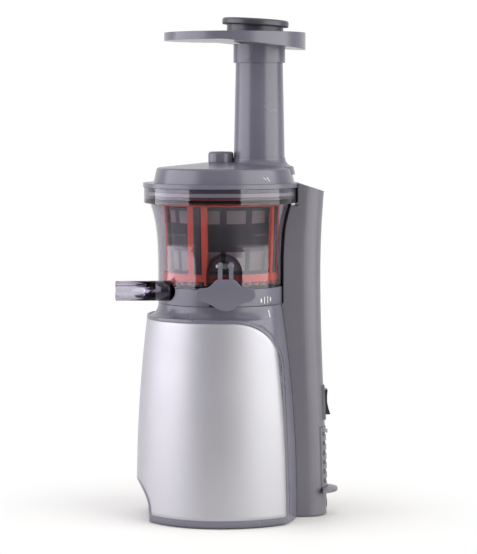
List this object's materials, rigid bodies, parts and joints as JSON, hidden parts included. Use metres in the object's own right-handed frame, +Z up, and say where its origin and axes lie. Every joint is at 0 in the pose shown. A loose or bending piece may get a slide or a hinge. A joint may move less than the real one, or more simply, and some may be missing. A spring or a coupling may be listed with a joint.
{
  "type": "slow juicer",
  "caption": "Upright slow juicer: motor housing with rear column, clear bowl with auger, strainer and brush, lid with feed tube, tray and pusher.",
  "frame": {"origin": "the point of the floor under the bowl's axis, at the centre of the foot ring", "axes": "+Z up along the bowl's axis; -Y is the front, where the spout points; +X is the side of the pulp outlet; +Y the rear column"},
  "size_m": [0.146, 0.1925, 0.4297],
  "materials": {
    "grey_plastic": "satin moulded",
    "lid_plastic": "satin gloss moulded",
    "column_plastic": "satin moulded",
    "pusher_plastic": "satin moulded",
    "dark_plastic": "matte moulded",
    "black_plastic": "satin moulded",
    "white_plastic": "matte moulded",
    "strainer_plastic": "satin moulded",
    "auger_plastic": "satin moulded",
    "orange_plastic": "satin moulded",
    "gear_nylon": "matte moulded",
    "silver_paint": "satin metallic",
    "smoky_clear": "clear, smoky, polished",
    "smoky_spout": "gloss moulded",
    "rubber": "matte",
    "silicone": "matte translucent",
    "wiper_silicone": "matte",
    "steel": "machined",
    "mesh_steel": "etched mesh",
    "aluminium": "cast",
    "bronze": "sintered",
    "copper": "enamelled wire"
  },
  "bodies": {
    "base": {"base_plate": "dark_plastic", "foot_ring": "rubber", "base_screws": "steel", "front_housing": "grey_plastic", "silver_panel": "silver_paint", "rear_column": "column_plastic", "vent_cover": "column_plastic", "vent_screw": "steel", "switch_bezel": "column_plastic", "switch_body": "black_plastic", "cord_guard": "column_plastic", "cord_inlet": "rubber", "run_capacitor": "white_plastic", "motor_mounts": "rubber", "lower_bracket": "aluminium", "stator_core": "steel", "stator_windings": "copper", "motor_bolts": "steel", "motor_bushes": "bronze", "gearbox_case": "white_plastic", "gearbox_cover": "white_plastic", "gearbox_screws": "steel", "wheel_pin": "steel", "output_bushes": "bronze", "shaft_seal": "rubber"},
    "rotor": {"rotor_core": "steel", "motor_shaft": "steel", "cooling_fan": "black_plastic", "motor_pinion": "steel"},
    "wheel": {"step_wheel": "gear_nylon"},
    "drive": {"output_gear": "gear_nylon", "drive_shaft": "steel"},
    "rocker": {"rocker": "black_plastic"},
    "bowl": {"bowl": "smoky_clear", "bowl_ring": "lid_plastic", "floor_seal": "silicone", "juice_spout": "smoky_spout", "lever_pin": "steel", "strainer": "strainer_plastic", "strainer_mesh": "mesh_steel"},
    "lever": {"pulp_lever": "grey_plastic", "pulp_stopper": "silicone"},
    "auger": {"auger": "auger_plastic", "auger_gear": "gear_nylon"},
    "idler": {"brush_idler": "gear_nylon"},
    "brush": {"brush_frame": "orange_plastic", "wiper_blades": "wiper_silicone"},
    "seal": {"lid_seal": "silicone"},
    "lid": {"lid": "lid_plastic", "feed_tube": "lid_plastic", "lid_knob": "lid_plastic", "lid_bush": "gear_nylon"},
    "tray": {"tray": "lid_plastic"},
    "pusher": {"pusher_cap": "pusher_plastic", "pusher_rod": "pusher_plastic"}
  },
  "joints": [
    {"name": "motor_spin", "type": "hinge", "parent": "base", "child": "rotor", "pos_m": [0, 0, 0.063], "axis": [0, 0, 1], "continuous": true},
    {"name": "wheel_spin", "type": "hinge", "parent": "base", "child": "wheel", "pos_m": [-0.0294, 0, 0.117], "axis": [0, 0, 1], "continuous": true},
    {"name": "drive_spin", "type": "hinge", "parent": "base", "child": "drive", "pos_m": [0, 0, 0.15], "axis": [0, 0, 1], "continuous": true},
    {"name": "rocker_tilt", "type": "hinge", "parent": "base", "child": "rocker", "pos_m": [0, 0.08407, 0.09807], "axis": [1, 0, 0], "range_deg": [-10, 10]},
    {"name": "bowl_lift", "type": "slide", "parent": "base", "child": "bowl", "axis": [0, 0, 1], "range_m": [0, 0.11]},
    {"name": "lever_swing", "type": "hinge", "parent": "bowl", "child": "lever", "pos_m": [0.069, 0, 0.221], "axis": [0, -1, 0], "range_deg": [0, 75]},
    {"name": "auger_spin", "type": "hinge", "parent": "bowl", "child": "auger", "pos_m": [0, 0, 0.24], "axis": [0, 0, 1], "continuous": true},
    {"name": "idler_spin", "type": "hinge", "parent": "bowl", "child": "idler", "pos_m": [0, -0.03, 0.207], "axis": [0, 0, 1], "continuous": true},
    {"name": "brush_spin", "type": "hinge", "parent": "bowl", "child": "brush", "pos_m": [0, 0, 0.209], "axis": [0, 0, 1], "continuous": true},
    {"name": "lid_lift", "type": "slide", "parent": "bowl", "child": "seal", "axis": [0, 0, 1], "range_m": [0, 0.06]},
    {"name": "lid_turn", "type": "hinge", "parent": "seal", "child": "lid", "pos_m": [0, 0, 0.2865], "axis": [0, 0, 1], "range_deg": [-30, 0]},
    {"name": "tray_lift", "type": "slide", "parent": "lid", "child": "tray", "axis": [0, 0, 1], "range_m": [0, 0.045]},
    {"name": "pusher_lift", "type": "slide", "parent": "tray", "child": "pusher", "axis": [0, 0, 1], "range_m": [0, 0.11]}
  ],
  "couplings": [
    {"joint": "wheel_spin", "follows": "motor_spin", "ratio": -0.16667},
    {"joint": "drive_spin", "follows": "motor_spin", "ratio": 0.033333},
    {"joint": "auger_spin", "follows": "motor_spin", "ratio": 0.033333},
    {"joint": "idler_spin", "follows": "motor_spin", "ratio": -0.033333},
    {"joint": "brush_spin", "follows": "motor_spin", "ratio": -0.011111}
  ]
}
